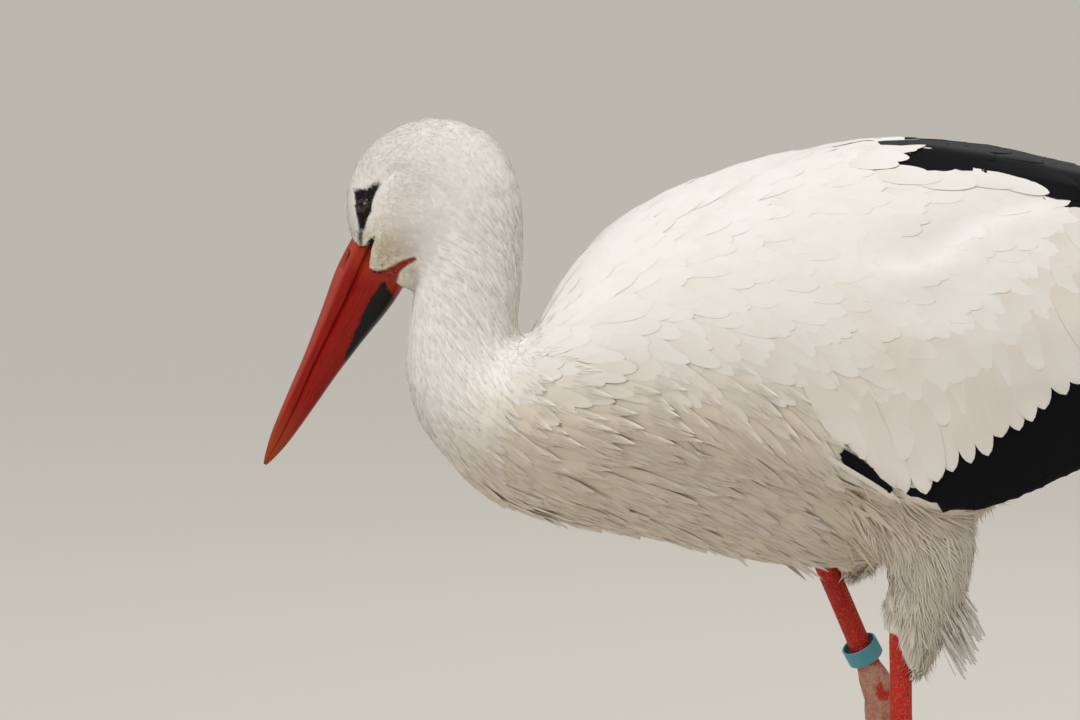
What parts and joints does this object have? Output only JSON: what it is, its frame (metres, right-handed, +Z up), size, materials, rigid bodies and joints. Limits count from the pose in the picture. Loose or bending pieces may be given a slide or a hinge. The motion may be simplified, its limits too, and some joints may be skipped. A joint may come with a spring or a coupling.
{
  "type": "white stork",
  "caption": "Standing white stork with long bill turned down to one side, folded wings, short tail, feathered thighs and long thin legs, one of them ringed.",
  "frame": {"origin": "floor level under the middle of the bird's length and width, which is also between its feet", "axes": "the bird faces -X, its left side is -Y, +Z is up"},
  "size_m": [0.7388, 0.1956, 0.66],
  "materials": {
    "white_plumage": "matt, soft barbed feather",
    "black_plumage": "soft sheen, barbed feather",
    "bill": "satin horn",
    "leg_skin": "scaled skin, dull",
    "claw": "smooth horn",
    "eye": "wet, polished",
    "ring": "worn, satin"
  },
  "bodies": {
    "root": {"head": "white_plumage", "neck_upper": "white_plumage", "neck_lower": "white_plumage", "trunk": "white_plumage", "tail": "white_plumage", "thigh_left": "white_plumage", "thigh_right": "white_plumage", "wing_left_coverts": "white_plumage", "wing_right_coverts": "white_plumage", "wing_left_scapulars": "black_plumage", "wing_right_scapulars": "black_plumage", "wing_left_flight": "black_plumage", "wing_right_flight": "black_plumage", "eye_left": "eye", "eye_right": "eye", "bill_upper": "bill", "bill_lower": "bill", "shin_left": "leg_skin", "shin_right": "leg_skin", "shank_left": "leg_skin", "shank_right": "leg_skin", "foot_left": "leg_skin", "foot_right": "leg_skin", "claw_left_middle": "claw", "claw_left_inner": "claw", "claw_left_outer": "claw", "claw_left_hind": "claw", "claw_right_middle": "claw", "claw_right_inner": "claw", "claw_right_outer": "claw", "claw_right_hind": "claw", "leg_ring": "ring"}
  },
  "joints": []
}
